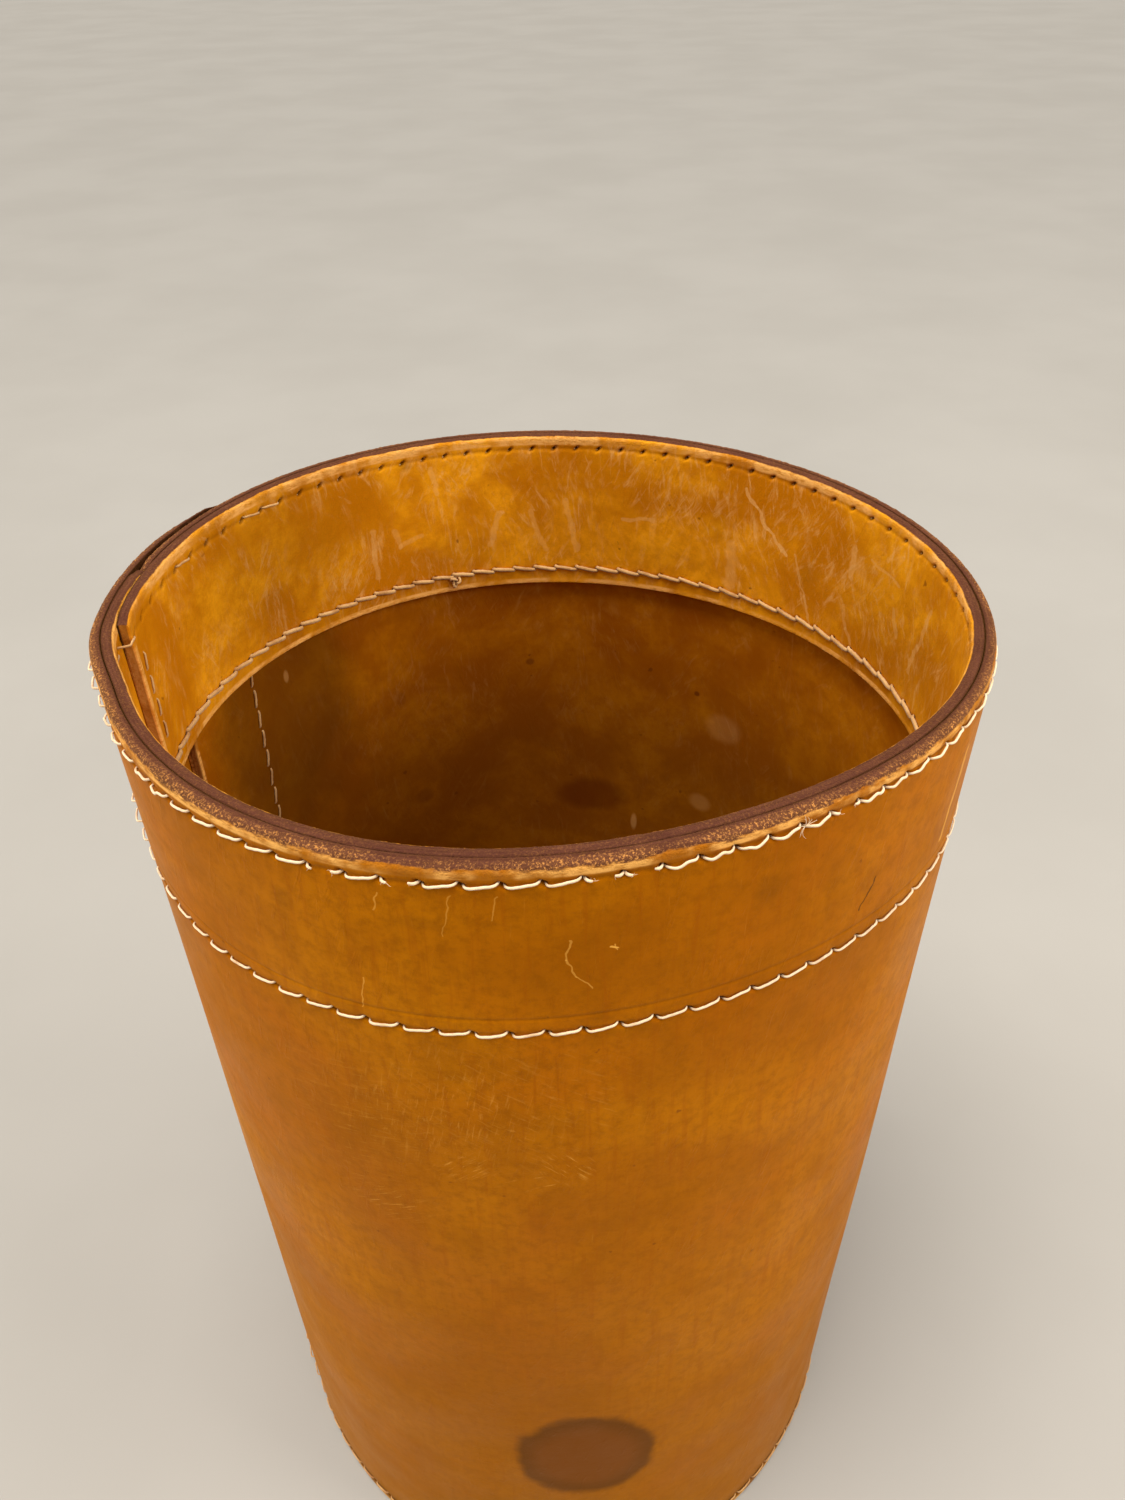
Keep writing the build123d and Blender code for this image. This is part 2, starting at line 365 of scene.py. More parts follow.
def wrap_sheet(name, outside, start, end, profile, outer_rows, inner_rows, pared=False):
    """A sheet of leather wrapped round the basket. profile is a closed outline of (inward, height)."""
    angles = columns(start, end)
    angle, inward, height = grid(angles, profile)

    thickness = LEATHER - (skive(angle) if pared else 0)
    inner = outside + lift(angle) - LEATHER
    from_end = np.minimum(angle - start, end - angle) * ARC
    rounding = END_ROUND - np.sqrt(END_ROUND**2 - np.clip(END_ROUND - from_end, 0, END_ROUND) ** 2)
    share = (1 - inward / LEATHER - 0.5) * (1 - rounding / (thickness / 2)) + 0.5
    radius = inner + share * thickness

    outer_depth, outer_dark = sewing(angle, height, outer_rows)
    inner_depth, inner_dark = sewing(angle, height, inner_rows, INNER_BED_DEPTH)
    if outer_rows:
        outer_depth = outer_depth + CREASE_DEPTH * guide_line(angle, height)
        outer_dark = np.maximum(outer_dark, CREASE_SHADE * guide_line(angle, height))
    on_outside = inward < LEATHER / 2
    radius = np.where(on_outside, radius - outer_depth, radius + inner_depth)
    dark = np.where(on_outside, outer_dark, inner_dark)

    from_split = np.abs(inward - (LEATHER if pared else 0))
    split = (1 - ease(from_split / SPLIT_WIDTH)) * (height > HEIGHT - 1)
    sideways = np.cos(np.radians(angle)) ** 2
    dark = np.maximum(dark, split * (SPLIT_SHADE + (1 - SPLIT_SHADE) * sideways))

    other_drop = OTHER_EDGES * WORN_DROP
    worn = 1 - ease((HEIGHT - height) / WORN_DROP)
    worn = np.maximum(worn, 1 - ease((height - height.min()) / other_drop))
    worn = np.maximum(worn, CUT_END_WEAR * (1 - ease(from_end / other_drop)))
    worn[[0, -1]] = CUT_END_WEAR
    roughening = EDGE_RAGGED * np.random.default_rng(5).standard_normal(angle.shape) * worn
    near_rim = ease((height - COLLAR_BOTTOM) / (HEIGHT - COLLAR_BOTTOM))
    height = height - END_DIP * (1 - ease(from_end / END_DIP_LENGTH)) * near_rim**4
    height = height + np.where(height > HEIGHT / 2, roughening, 0)

    points = place(angle, radius, height).reshape(-1, 3)
    column, row = np.meshgrid(range(len(angles) - 1), range(len(profile)), indexing="ij")
    after = (row + 1) % len(profile)
    faces = quads(column * len(profile), (column + 1) * len(profile), row, after)
    first_end = list(range(len(profile)))
    last_end = [len(points) - 1 - i for i in range(len(profile))]
    thing = make_object(name, points.tolist(), faces + [first_end, last_end])
    for end_face in thing.data.polygons[-2:]:
        end_face.use_smooth = False

    store(thing, (angle * ARC, height, inward), worn=worn, dark=dark, inside=inward / LEATHER)
    return thing


def upper_heights(top):
    """Heights of a sheet's points from just under the collar row to the top of its straight face."""
    heights = steps(COLLAR_ROW_LOW, COLLAR_ROW_HIGH, HOLE_GAP)
    heights += steps(COLLAR_ROW_HIGH, RIM_ROW_LOW, COLLAR_GAP)
    return heights + steps(RIM_ROW_LOW, top, RIM_GAP)


def wall_profile():
    """Closed outline of the wall: up its outside, over the rim and down its inside."""
    heights = steps(FOOT_ROUND, BASE_ROW_HIGH, HOLE_GAP)
    heights += steps(BASE_ROW_HIGH, COLLAR_ROW_LOW, WALL_GAP)
    heights += upper_heights(HEIGHT - BEVEL_DROP)
    outline = corner(FOOT_ROUND, FOOT_ROUND)[:0:-1] + [(0, height) for height in heights]
    outline += [(inward, HEIGHT - drop) for inward, drop in corner(BEVEL_WIDTH, BEVEL_DROP, 8)]
    outline += crown(BEVEL_WIDTH, LEATHER - SPLIT_ROUND)
    outline += [(LEATHER - a, HEIGHT - b) for a, b in reversed(corner(SPLIT_ROUND, SPLIT_ROUND, 3))]
    heights = steps(FOOT_ROUND, COLLAR_BOTTOM - 3, LINING_GAP)
    heights += steps(COLLAR_BOTTOM, HEIGHT - 2, HIDDEN_GAP)
    outline += [(LEATHER, height) for height in reversed(heights)]
    outline += [(LEATHER - a, b) for a, b in corner(FOOT_ROUND, FOOT_ROUND)][1:]
    return outline


def collar_profile():
    """Closed outline of the collar: up its hidden outside, over the rim and down its inside."""
    foot = corner(END_ROUND, END_ROUND, 4)
    outline = [(a, COLLAR_BOTTOM + b) for a, b in reversed(foot)][:-1]
    heights = steps(COLLAR_BOTTOM + END_ROUND, HEIGHT - SPLIT_ROUND, HIDDEN_GAP)
    outline += [(0, height) for height in heights]
    outline += [(a, HEIGHT - b) for a, b in corner(SPLIT_ROUND, SPLIT_ROUND, 3)]
    outline += crown(SPLIT_ROUND, LEATHER - INNER_BEVEL_WIDTH)
    inner_top = corner(INNER_BEVEL_WIDTH, INNER_BEVEL_DROP, 6)
    outline += [(LEATHER - a, HEIGHT - b) for a, b in reversed(inner_top)]
    heights = steps(COLLAR_BOTTOM + END_ROUND, COLLAR_ROW_LOW, COLLAR_FOOT_GAP)
    heights += upper_heights(HEIGHT - INNER_BEVEL_DROP)
    outline += [(LEATHER, height) for height in reversed(heights)]
    outline += [(LEATHER - a, COLLAR_BOTTOM + b) for a, b in foot][1:]
    return outline


def turn_base(name):
    """The base: a disc with an upturned edge, a little uneven where it was moulded by hand."""
    angles = np.array(steps(0, FULL_TURN, STITCH_ANGLE / 6))
    outline = [(radius, 0) for radius in reversed(DISC_RINGS)]
    outline += [(COLLAR_OUTSIDE - a, b) for a, b in reversed(corner(BASE_CORNER, BASE_CORNER))]
    outline += [(COLLAR_OUTSIDE, height) for height in steps(3, FLANGE_HEIGHT - 1, 2)]
    flange_round = corner(FLANGE_ROUND, FLANGE_ROUND)
    outline += [(COLLAR_OUTSIDE - a, FLANGE_HEIGHT - b) for a, b in flange_round]
    outline += [(COLLAR_INSIDE + a, FLANGE_HEIGHT - b) for a, b in reversed(flange_round)]
    heights = [5.6, 6.0, 6.5] + steps(7, FLANGE_HEIGHT - 1, 0.6)
    outline += [(COLLAR_INSIDE, height) for height in reversed(heights)]
    fillet = corner(BASE_FILLET, BASE_FILLET)[1:]
    outline += [(COLLAR_INSIDE - a, LEATHER + b) for a, b in fillet]
    outline += [(radius, LEATHER) for radius in DISC_RINGS]
    angle, radius, height = grid(angles, outline)

    depth, dark = sewing(angle, height, [base_row])
    on_face = radius <= COLLAR_INSIDE + GLUE_LINE
    radius = radius + np.where(on_face & (height > LEATHER), depth, 0)
    turn = np.radians(angle)
    unevenness = 0.8 + 0.5 * np.sin(2 * turn + 1) + 0.3 * np.sin(3 * turn)
    swelling = unevenness * ease((SWELLING_EDGE - radius) / SWELLING_WIDTH)
    height = height + np.where(height > LEATHER / 2, swelling, 0)

    points = place(angle, radius, height).reshape(-1, 3)
    column, row = np.meshgrid(range(len(angles)), range(len(outline) - 1), indexing="ij")
    there = (column + 1) % len(angles)
    faces = quads(column * len(outline), there * len(outline), row, row + 1)
    under = [i * len(outline) for i in reversed(range(len(angles)))]
    upper = [i * len(outline) + len(outline) - 1 for i in range(len(angles))]
    thing = make_object(name, points.tolist(), faces + [under, upper])
    grain = (radius * np.cos(turn), radius * np.sin(turn), height)
    worn = 1 - ease((FLANGE_HEIGHT - height) / WORN_DROP)
    store(thing, grain, worn=worn, dark=np.where(on_face, dark, 0))
    return thing


# ---- thread

class Spot:
    """Where a path of (along, across, proud) lies: a start on a face, a direction and a side."""

    def __init__(self, angle, height, face, side, slope=0.0):
        self.angle = angle
        self.height = height
        self.face = face
        self.side = side
        self.slope = radians(slope)

    def angles(self, along, across):
        """The angle of each point of a path."""
        return self.angle + (along * cos(self.slope) - across * sin(self.slope)) / ARC

    def heights(self, along, across):
        """The height of each point of a path."""
        return self.height + along * sin(self.slope) + across * cos(self.slope)


class Yarn:
    """Collects tubes of thread into one mesh."""

    def __init__(self, seed):
        self.points = []
        self.faces = []
        self.rng = np.random.default_rng(seed)

    def tube(self, spot, path, radii, rest=None, flat=THREAD_FLAT):
        """A closed tube along a path. rest is the radius that it is proud of, if not the face's."""
        path = np.stack(path, axis=-1)
        ahead = np.gradient(path, axis=0)
        ahead /= np.linalg.norm(ahead, axis=1, keepdims=True)
        beside = np.cross(ahead, (0.0, 0.0, 1.0))
        size = np.linalg.norm(beside, axis=1, keepdims=True)
        beside = np.where(size > 0.05, beside / np.maximum(size, 0.05), (0.0, -1.0, 0.0))
        above = np.cross(beside, ahead)
        walked = np.concatenate([[0], np.cumsum(np.linalg.norm(np.diff(path, axis=0), axis=1))])
        turn = np.arange(TUBE_SIDES) * 2 * pi / TUBE_SIDES
        ridge = np.cos(PLIES * turn[None, :] - 2 * pi * walked[:, None] / PLY_TURN)
        reach = np.asarray(radii)[:, None] * (1 + PLY_DEPTH * ridge)
        rings = path[:, None, :]
        rings = rings + (reach * np.cos(turn))[..., None] * beside[:, None, :]
        rings = rings + (flat * reach * np.sin(turn))[..., None] * above[:, None, :]
        angle = spot.angles(rings[..., 0], rings[..., 1])
        height = spot.heights(rings[..., 0], rings[..., 1])
        if rest is None:
            rest = spot.face(spot.angles(path[:, 0], path[:, 1]))
        radius = rest[:, None] + spot.side * rings[..., 2]
        self.add_rings(place(angle, radius, height), spot.side)

    def add_rings(self, rings, side):
        """Join rings of points into a closed tube."""
        count, around = rings.shape[:2]
        start = len(self.points)
        self.points.extend(rings.reshape(-1, 3).tolist())
        ring, spoke = np.meshgrid(range(count - 1), range(around), indexing="ij")
        after = (spoke + 1) % around
        faces = quads(spoke, after, start + ring * around, start + (ring + 1) * around)
        faces.append([start + i for i in reversed(range(around))])
        faces.append([start + (count - 1) * around + i for i in range(around)])
        self.faces.extend(faces if side > 0 else [face[::-1] for face in faces])

    def stitch(self, spot, length, slack=SNUG, slant=0.62, proud=0.36, sink=1.3, stout=1.0, gap=0.05):
        """One stitch between two holes, tight in its bed or, with some slack, wavy and loose.

        slant is how far its ends lie off the row, proud how far it stands out, sink how deep its ends
        go, stout how thick it is, and gap the share of the length that it leaves free at either end.
        """
        rng = self.rng
        share = np.linspace(0, 1, STITCH_RINGS)
        bulge = np.sin(pi * share)
        ends = np.abs(2 * share - 1) ** 9
        along = length * (gap + (1 - 2 * gap) * share)
        sway = slack * rng.uniform(0.6, 1.0)
        wobble = sway * np.sin(pi * share * rng.uniform(2.2, 3.4) + rng.uniform(0, 3))
        tilt = slant * rng.uniform(0.7, 1.3) * (2 * share - 1)
        across = tilt + bulge * (wobble + rng.normal(0, 0.12))
        rise = proud * rng.uniform(0.85, 1.15) + bulge * slack * rng.uniform(0.3, 1.2)
        height = rise * (1 - ends) - sink * ends
        face = spot.face(spot.angles(along, across))
        ends_rest = max(face[0], face[-1]) if spot.side > 0 else min(face[0], face[-1])
        rest = face + (ends_rest - face) * ease(np.minimum(share, 1 - share) / 0.14)
        radii = stout * THREAD / 2 * rng.uniform(0.94, 1.06) * (0.81 + 0.12 * bulge)
        self.tube(spot, (along, across, height), radii, rest)

    def stub(self, spot, length, rise):
        """The short end of a broken stitch, with some loose fibres."""
        share = np.linspace(0, 1, 8)
        along = length * share
        across = rise * share
        height = 0.5 - 1.8 * (1 - share) ** 4
        radii = THREAD / 2 * (1.0 - 0.35 * share**3)
        self.tube(spot, (along, across, height), radii)
        for _ in range(3):
            self.fibre(spot, (along[-1], across[-1], 0.5), self.rng.uniform(0.6, 1.5), 0.06)

    def fibre(self, spot, start, length, radius=0.09):
        """A single fine fibre that curls away from a thread."""
        rng = self.rng
        share = np.linspace(0, 1, 7)
        heading = rng.uniform(0, 2 * pi)
        curl = rng.uniform(-1.6, 1.6)
        along = start[0] + length * share * np.cos(heading + curl * share)
        across = start[1] + length * share * np.sin(heading + curl * share)
        proud = start[2] + length * share * rng.uniform(0.0, 0.5)
        self.tube(spot, (along, across, proud), radius * (1 - 0.6 * share), flat=1.0)

    def knot(self, spot, size):
        """A small overhand knot."""
        turn = np.linspace(0, 2 * pi, 40)
        along = size * (np.sin(turn) + 2 * np.sin(2 * turn)) / 3
        across = size * (np.cos(turn) - 2 * np.cos(2 * turn)) / 3
        proud = 0.9 - 0.45 * size * np.sin(3 * turn)
        radii = np.full(len(turn), 0.62 * THREAD)
        self.tube(spot, (along, across, proud), radii, flat=1.0)

    def build(self, name):
        """The finished mesh of all the tubes."""
        return make_object(name, self.points, self.faces)


def sew_round(yarn, row, face, side, broken=(), loose=(), skipped=(), **shape):
    """A row of stitches right round the basket."""
    for i in range(STITCHES_ROUND):
        angle = i * STITCH_ANGLE
        spot = Spot(angle, row(angle), face, side)
        if i in broken:
            yarn.stub(spot, 1.9, -0.2)
            far = Spot(angle + STITCH_ANGLE, row(angle + STITCH_ANGLE), face, side)
            yarn.stub(far, -2.4, 0.4)
        elif i not in skipped:
            yarn.stitch(spot, STITCH, SLACK if i in loose else SNUG, **shape)


def upright_holes(row_below, row_above):
    """Evenly spaced heights between two rows, as near one stitch apart as they fit."""
    low = row_below + SEAM_MARGIN
    high = row_above - SEAM_MARGIN
    count = round((high - low) / STITCH)
    return [low + (high - low) * i / count for i in range(count + 1)]


def sew_upright(yarn, angle, holes, face, side, **shape):
    """A row of stitches one above another."""
    for low, high in zip(holes, holes[1:]):
        yarn.stitch(Spot(angle, low, face, side, slope=90.0), high - low, **shape)


# ---- materials

TAN = (0.465, 0.150, 0.0006, 1.0)
TAN_DEEP = (0.35, 0.098, 0.0006, 1.0)
TAN_RED = (0.41, 0.098, 0.0008, 1.0)
TAN_PALE = (0.80, 0.36, 0.05, 1.0)
TAN_SCRATCHED = (0.95, 0.48, 0.08, 1.0)
# The next two colours, for the collar's inside, are the outside's hide painted far lighter, as painted
# light.
LIT_INSIDE_TAN = (0.91, 0.38, 0.008, 1.0)
LIT_INSIDE_DEEP = (0.52, 0.170, 0.002, 1.0)
INSIDE_PALE = (0.90, 0.52, 0.18, 1.0)
INSIDE_RED = (0.10, 0.016, 0.002, 1.0)
# The next two colours, for the wall's inside and the base, are the collar's tan painted much darker,
# as painted shade deep in the basket.
SHADED_LINING_TAN = (0.50, 0.172, 0.002, 1.0)
SHADED_LINING_DEEP = (0.32, 0.086, 0.001, 1.0)
BURNISHED = (0.062, 0.019, 0.014, 1.0)
BURNISHED_PALE = (0.120, 0.041, 0.028, 1.0)
WORN_TAN = (0.62, 0.27, 0.07, 1.0)
WORN_PALE = (0.90, 0.46, 0.12, 1.0)
# Painted shade in the stitch holes and grooves is this brown; a dark nick on the outside uses it too.
HOLE_BROWN = (0.030, 0.009, 0.004, 1.0)
STAIN_BROWN = (0.15, 0.036, 0.004, 1.0)
# The next dark brown serves real spots and soiling, and also painted shade inside the basket.
DIRT_AND_SHADE = (0.10, 0.032, 0.002, 1.0)
GLOSS_TINT = (1.0, 0.55, 0.12, 1.0)
SHEEN_TINT = (1.0, 0.50, 0.04, 1.0)
CREAM = (0.80, 0.62, 0.41, 1.0)
CREAM_SOILED = (0.55, 0.34, 0.17, 1.0)
STRAW = (0.60, 0.37, 0.15, 1.0)
STRAW_SOILED = (0.40, 0.20, 0.06, 1.0)
FOOT_BROWN = (0.50, 0.27, 0.09, 1.0)
FOOT_BROWN_SOILED = (0.33, 0.13, 0.03, 1.0)
FLOOR_GREY = (0.285, 0.272, 0.252, 1.0)
FLOOR_PALE = (0.305, 0.292, 0.272, 1.0)

# Marks that use has left, and a few broad ovals of painted shade inside. An oval is (angle, drop below
# the rim, half width, half height), and the places along a scratch are (angle, drop).
HAIR_PATCHES = (  # oval, lean, strength
    (-101, 88, 52, 38, 12, 0.20),
    (-92, 84, 50, 40, -55, 0.16),
    (-112, 100, 40, 50, 80, 0.14),
    (-99, 114, 13, 9, 50, 0.55),
    (-90.7, 121, 11, 7, 75, 0.75),
    (-85.6, 114, 11, 10, -40, 0.65),
    (-110, 140, 20, 14, 60, 0.30),
    (40, 150, 60, 60, 30, 0.30),
    (75, 260, 50, 40, -50, 0.34),
    (120, 190, 50, 70, 10, 0.26),
)
OUTSIDE_SCRATCHES = (  # width, strength, places
    (1.6, 0.40, (-24, 18), (-27, 46)),
    (0.45, 0.70, (-81.0, 27.4), (-80.2, 28.0)),
    (0.3, 0.4, (-80.5, 26.6), (-80.4, 28.9)),
    (0.35, 0.32, (-85.3, 24), (-85.7, 30), (-84.6, 37), (-82.6, 41)),
    (0.3, 0.35, (-108, 40), (-109, 51)),
    (0.25, 0.25, (-92.7, 8), (-93.3, 16)),
    (0.3, 0.30, (-105.3, 10), (-106.0, 15.5)),
    (0.25, 0.22, (-97.5, 9), (-98.4, 22)),
)
NICK = (0.4, 0.75, (-44.7, 35), (-46.5, 45))
PATCH_BORDER = (-83.3, 301, 28.5, 33.5)
PATCH_MIDDLE = (-83.3, 301, 24.0, 28.0)
PATCH_LEAN = -12
OUTSIDE_SPOTS = (  # oval, strength
    (-117, 20, 5, 5, 0.22),
    (-62, 22, 6, 7, 0.25),
    (-101, 18, 9, 3, 0.18),
    (-74, 38, 14, 5, 0.12),
)
INSIDE_SPOTS_AND_SHADE = (  # oval, strength, tone
    (85, 183, 22, 12, 0.60, INSIDE_RED),
    # This broad dark oval on the left of the wall's inside is painted shade.
    (153, 90, 50, 74, 0.66, DIRT_AND_SHADE),
    (97.8, 107, 2.6, 2.2, 0.65, STAIN_BROWN),
    (62.4, 114, 1.6, 1.6, 0.7, INSIDE_RED),
    (139, 130, 6, 7, 0.35, STAIN_BROWN),
    (123, 171, 6, 5, 0.45, STAIN_BROWN),
    (126, 114, 3, 5, 0.3, STAIN_BROWN),
    (150.5, 78, 1.6, 3.5, 0.22, INSIDE_PALE),
    (56, 128, 11, 9, 0.12, INSIDE_PALE),
    (75, 197, 2.0, 6, 0.3, INSIDE_PALE),
    (60, 174, 7, 6, 0.15, INSIDE_PALE),
)
COLLAR_SCRATCHES = (  # width, strength, places
    (0.8, 0.42, (55, 12), (53, 18), (50, 26), (46, 33)),
    (0.7, 0.30, (44, 32), (41, 47), (39, 57)),
    (3.0, 0.22, (57, 36), (57, 54)),
    (2.2, 0.32, (31.5, 18), (31.5, 29)),
    (0.8, 0.26, (27, 18), (20, 21)),
    (0.9, 0.24, (32, 42), (31, 50), (28, 58)),
    (1.3, 0.30, (10, 18), (12, 34), (13, 46)),
    (1.6, 0.30, (20.5, 31), (18.5, 38)),
    (1.0, 0.28, (79, 34), (73, 33)),
    (1.8, 0.24, (129, 31), (129, 51)),
    (1.6, 0.18, (124, 33), (123.5, 40), (119, 37)),
    (1.3, 0.25, (116, 10), (115, 20)),
    (1.5, 0.25, (90, 27), (88, 50)),
    (1.5, 0.22, (97, 32), (94, 50)),
    (1.8, 0.24, (103, 32), (105, 46)),
)
COLLAR_SOILING_AND_SHADE = (  # oval, strength
    # These two broad ovals, on the left and the right, are painted shade; the smaller ones are
    # soiling.
    (152, 30, 72, 52, 0.38),
    (18, 34, 66, 50, 0.24),
    (70, 48, 30, 10, 0.10),
    (112, 46, 26, 12, 0.10),
    (121, 7, 5, 3, 0.4),
    (60, 30, 7, 12, 0.14),
    (41, 38, 8, 10, 0.16),
)

UP = 1  # a grain coordinate is (round the basket, up, inward)
INWARD = 2


class Paint:
    """Builds one node material. Its methods add nodes and give back the socket with their result."""

    def __init__(self, name):
        self.material = bpy.data.materials.new(name)
        self.material.use_nodes = True
        self.tree = self.material.node_tree
        self.shader = self.tree.nodes["Principled BSDF"]

    def feed(self, node, inputs):
        """Set a node's inputs, given by name or number, or link them to other nodes' results."""
        for key, value in inputs.items():
            if isinstance(value, bpy.types.NodeSocket):
                self.tree.links.new(value, node.inputs[key])
            else:
                node.inputs[key].default_value = value

    def node(self, kind, inputs=None, **settings):
        """A new node of this kind."""
        made = self.tree.nodes.new(kind)
        for name, value in settings.items():
            setattr(made, name, value)
        self.feed(made, inputs or {})
        return made

    def attribute(self, name, output="Fac"):
        """A value stored on the mesh."""
        return self.node("ShaderNodeAttribute", attribute_name=name).outputs[output]

    def maths(self, operation, a, b=0.0, c=0.0):
        """One sum on one to three values."""
        return self.node("ShaderNodeMath", {0: a, 1: b, 2: c}, operation=operation).outputs[0]

    def times(self, a, b):
        """Two values multiplied."""
        return self.maths("MULTIPLY", a, b)

    def rest(self, share):
        """What a share leaves of 1."""
        return self.maths("SUBTRACT", 1.0, share)

    def vector(self, operation, a, b=(0, 0, 0), output="Vector"):
        """One sum on vectors."""
        return self.node("ShaderNodeVectorMath", {0: a, 1: b}, operation=operation).outputs[output]

    def part(self, vector, number):
        """One of a vector's three numbers."""
        return self.node("ShaderNodeSeparateXYZ", {0: vector}).outputs[number]

    def noise(self, where, scale, detail=3.0, roughness=0.55, distortion=0.0):
        """Soft random patches; scale is in patches per metre."""
        made = self.node("ShaderNodeTexNoise", {
            "Vector": where,
            "Scale": scale,
            "Detail": detail,
            "Roughness": roughness,
            "Distortion": distortion,
        })
        return made.outputs["Fac"]

    def drawn_noise(self, where, scales, detail, roughness, distortion=0.0):
        """Random patches with a scale of their own round the basket, up and inward."""
        return self.noise(self.vector("MULTIPLY", where, scales), 1.0, detail, roughness, distortion)

    def cells(self, where, scale):
        """Distance pattern of random cells."""
        return self.node("ShaderNodeTexVoronoi", {"Vector": where, "Scale": scale}).outputs["Distance"]

    def between(self, value, low, high, to_low=0.0, to_high=1.0):
        """Map low..high of a value smoothly to to_low..to_high."""
        inputs = dict(enumerate((value, low, high, to_low, to_high)))
        return self.node("ShaderNodeMapRange", inputs, interpolation_type="SMOOTHSTEP").outputs[0]

    def mix(self, share, a, b):
        """Two colours mixed."""
        return self.node("ShaderNodeMix", {0: share, 6: a, 7: b}, data_type="RGBA").outputs[2]

    def turned(self, where, lean):
        """Places turned in the plane of the leather."""
        inputs = {"Vector": where, "Angle": radians(lean)}
        return self.node("ShaderNodeVectorRotate", inputs, rotation_type="Z_AXIS").outputs[0]

    def streaks(self, where, across, along, low, high, lean=0.0):
        """Scuffs: a pattern drawn out along the height, or along a direction that leans from it."""
        pattern = self.drawn_noise(self.turned(where, lean), (across, along, across), 5.0, 0.66, 0.5)
        return self.between(pattern, low, high)

    def stroke(self, where, start, end, width):
        """A mark along a straight line between two places (angle, drop below the rim, inward)."""
        first = wall_place(*start)
        run = tuple(b - a for a, b in zip(first, wall_place(*end)))
        length_squared = sum(value * value for value in run)
        offset = self.vector("SUBTRACT", where, first)
        share = self.maths("DIVIDE", self.vector("DOT_PRODUCT", offset, run, "Value"), length_squared)
        share = self.maths("MINIMUM", self.maths("MAXIMUM", share, 0.0), 1.0)
        nearest = self.node("ShaderNodeVectorMath", {0: run, "Scale": share}, operation="SCALE")
        distance = self.vector("DISTANCE", offset, nearest.outputs[0], "Value")
        return self.between(distance, width * MM / 2, width * MM, 1, 0)

    def wander(self, where, scale, reach):
        """The same places, moved about by up to some millimetres, so that lines on them waver."""
        made = self.node("ShaderNodeTexNoise", {"Vector": where, "Scale": scale})
        centred = self.vector("SUBTRACT", made.outputs["Color"], (0.5, 0.5, 0.5))
        spread = (2 * reach * MM, 2 * reach * MM, 0.0)
        return self.vector("ADD", where, self.vector("MULTIPLY", centred, spread))

    def bump(self, parts):
        """Surface relief from (height pattern, strength, depth in mm) parts, chained."""
        below = {}
        for pattern, strength, depth in parts:
            inputs = {"Height": pattern, "Strength": strength, "Distance": depth * MM, **below}
            below = {"Normal": self.node("ShaderNodeBump", inputs).outputs[0]}
        self.feed(self.shader, below)


def wall_place(angle, drop, inward=0.0):
    """Grain coordinates of a place on the wall, for an angle and a drop below the rim."""
    return (unwrap(angle, WALL_FLAP_END) * ARC * MM, (HEIGHT - drop) * MM, inward * MM)


def shade(colour, factor):
    """A colour made darker or lighter."""
    return (colour[0] * factor, colour[1] * factor, colour[2] * factor, 1.0)


def ragged(paint, grain, reach):
    """A value in metres that wanders by some millimetres, for the uneven border of a worn edge."""
    pattern = paint.drawn_noise(grain, (170, 700, 700), 4.0, 0.7)
    fine = paint.maths("MULTIPLY_ADD", pattern, 1.0, -0.5)
    broad = paint.maths("MULTIPLY_ADD", paint.noise(grain, 60, 3.0, 0.6), 1.6, -0.8)
    return paint.times(paint.maths("ADD", fine, broad), reach * MM)


def edge_colour(paint, grain, face_colour, cut_edge, bared, dusting):
    """Burnished dark edges dusted with tan, and beside them a band that is worn bare in patches."""
    patches = paint.noise(grain, 60, 3.0, 0.6)
    dust = paint.between(paint.noise(grain, 1400, 4.0, 0.8), 0.50, 0.62, 0.08, 0.85)
    thick = paint.times(dusting, paint.between(patches, 0.34, 0.58, 0.35, 1.0))
    pattern = paint.drawn_noise(grain, (60, 900, 1400), 3.0, 0.6)
    fibres = paint.between(pattern, 0.35, 0.68, 0.0, 0.5)
    burnished = paint.mix(fibres, BURNISHED, BURNISHED_PALE)
    flat = paint.mix(paint.times(dust, thick), burnished, WORN_TAN)
    covered = paint.times(paint.between(cut_edge, 0.38, 0.56), paint.rest(bared))
    solid = paint.mix(covered, face_colour, flat)

    pattern = paint.drawn_noise(grain, (220, 800, 800), 4.0, 0.7)
    grit = paint.between(pattern, 0.32, 0.56, 0.25, 1.0)
    bright = paint.times(grit, paint.between(patches, 0.38, 0.56, 0.15, 1.0))
    bright = paint.times(bright, paint.between(cut_edge, 0.0, 0.14, 0.5, 1.0))
    bare = paint.mix(bright, face_colour, WORN_PALE)
    rub = paint.times(paint.between(cut_edge, 0.0, 0.17), paint.rest(covered))
    rub = paint.times(rub, paint.between(patches, 0.36, 0.56, 0.55, 0.95))
    return paint.mix(rub, solid, bare)


def speckle(paint, grain, colour, scale, low):
    """Small dark specks; the higher low is, the fewer there are."""
    specks = paint.between(paint.noise(grain, scale, 2.0, 0.5), low, low + 0.05, 0.0, 0.6)
    return paint.mix(specks, colour, STAIN_BROWN)


